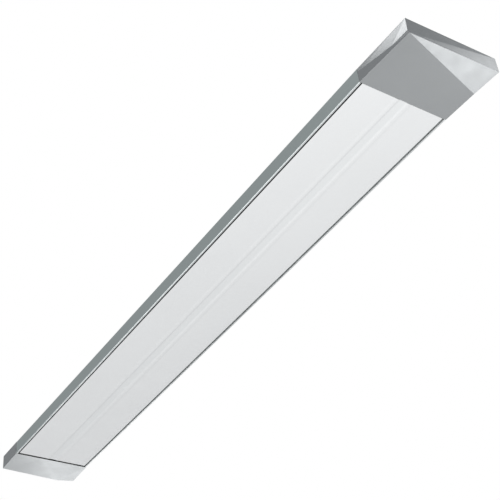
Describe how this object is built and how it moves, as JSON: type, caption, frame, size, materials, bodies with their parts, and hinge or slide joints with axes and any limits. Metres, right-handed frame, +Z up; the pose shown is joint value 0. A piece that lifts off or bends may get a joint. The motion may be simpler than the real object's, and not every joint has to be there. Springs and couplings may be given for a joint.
{
  "type": "ceiling infrared strip heater",
  "caption": "Slim ceiling-hung infrared strip heater: folded steel casing, flat radiating panel facing down, faceted end caps, tilting brackets that slide in a track on its back.",
  "frame": {"origin": "in the ceiling plane, at the centre of the four slotted holes of the two ceiling brackets", "axes": "+Z up into the ceiling, +X along the heater towards its near, wiring end, +Y across it; the radiating panel faces -Z"},
  "size_m": [1.1934, 0.1457, 0.073],
  "materials": {
    "silver_paint": "fine metallic silver powder coat, satin",
    "cap_paint": "silver metallic paint over a moulded faceted shell, semi-gloss",
    "white_enamel": "smooth off-white heat-resistant enamel on aluminium",
    "steel_sheet": "zinc-plated sheet, faint spangle",
    "aluminium_sheet": "bright rolled sheet",
    "element_steel": "heat-tinted stainless tube",
    "zinc": "zinc-plated fasteners",
    "brass": "plain turned brass",
    "ceramic": "glazed ceramic",
    "mineral_wool": "felted mineral fibre",
    "black_plastic": "matt black moulding",
    "rubber": "soft black rubber",
    "live_sleeve": "brown silicone insulation",
    "neutral_sleeve": "blue silicone insulation",
    "earth_sleeve": "green-yellow silicone insulation"
  },
  "bodies": {
    "near_bracket": {"near_bracket": "silver_paint", "near_pivot_bolt": "zinc", "near_washers": "zinc"},
    "near_lock_nut": {"near_lock_nut": "brass"},
    "near_slider": {"near_slider": "steel_sheet", "near_pivot_sleeve": "zinc"},
    "near_clamp_screw": {"near_clamp_screw": "brass"},
    "heater": {"casing_shell": "silver_paint", "radiating_panel": "white_enamel", "heating_element": "element_steel", "element_bushes": "ceramic", "element_studs": "zinc", "element_clips": "steel_sheet", "reflector_sheet": "aluminium_sheet", "insulation_mat": "mineral_wool", "panel_springs": "steel_sheet", "near_end_plate": "steel_sheet", "far_end_plate": "steel_sheet", "near_cap": "cap_paint", "far_cap": "cap_paint", "near_cap_screws": "zinc", "far_cap_screws": "zinc", "terminal_block": "ceramic", "terminal_screws": "brass", "block_screws": "zinc", "thermal_cutout": "black_plastic", "cutout_strap": "steel_sheet", "live_wire": "live_sleeve", "cutout_wire": "live_sleeve", "neutral_wire": "neutral_sleeve", "earth_wire": "earth_sleeve", "wire_connectors": "brass", "earth_stud": "brass", "wire_bush": "rubber", "cable_grommet": "rubber", "end_plate_rivets": "zinc", "mounting_track": "steel_sheet", "track_rivets": "zinc", "track_end_stops": "black_plastic", "rating_plate": "aluminium_sheet"},
    "far_slider": {"far_slider": "steel_sheet", "far_pivot_sleeve": "zinc"},
    "far_clamp_screw": {"far_clamp_screw": "brass"},
    "far_bracket": {"far_bracket": "silver_paint", "far_pivot_bolt": "zinc", "far_washers": "zinc"},
    "far_lock_nut": {"far_lock_nut": "brass"}
  },
  "joints": [
    {"name": "near_tilt", "type": "hinge", "parent": "near_bracket", "child": "near_slider", "pos_m": [0.35, 0, -0.024], "axis": [1, 0, 0], "range_deg": [-30, 30]},
    {"name": "near_lock_nut_turn", "type": "hinge", "parent": "near_bracket", "child": "near_lock_nut", "pos_m": [0.35, 0, -0.024], "axis": [1, 0, 0], "range_deg": [-360, 0]},
    {"name": "near_slide", "type": "slide", "parent": "near_slider", "child": "heater", "axis": [1, 0, 0], "range_m": [-0.04, 0.04]},
    {"name": "near_clamp_screw_turn", "type": "hinge", "parent": "near_slider", "child": "near_clamp_screw", "pos_m": [0.32, 0, -0.034], "axis": [0, 0, 1], "range_deg": [0, 360]},
    {"name": "far_slide", "type": "slide", "parent": "heater", "child": "far_slider", "axis": [1, 0, 0], "range_m": [-0.04, 0.04]},
    {"name": "far_clamp_screw_turn", "type": "hinge", "parent": "far_slider", "child": "far_clamp_screw", "pos_m": [-0.38, 0, -0.034], "axis": [0, 0, 1], "range_deg": [0, 360]},
    {"name": "far_tilt", "type": "hinge", "parent": "far_slider", "child": "far_bracket", "pos_m": [-0.35, 0, -0.024], "axis": [1, 0, 0], "range_deg": [-30, 30]},
    {"name": "far_lock_nut_turn", "type": "hinge", "parent": "far_bracket", "child": "far_lock_nut", "pos_m": [-0.35, 0, -0.024], "axis": [1, 0, 0], "range_deg": [-360, 0]}
  ],
  "couplings": [
    {"joint": "far_tilt", "follows": "near_tilt", "ratio": -1}
  ]
}
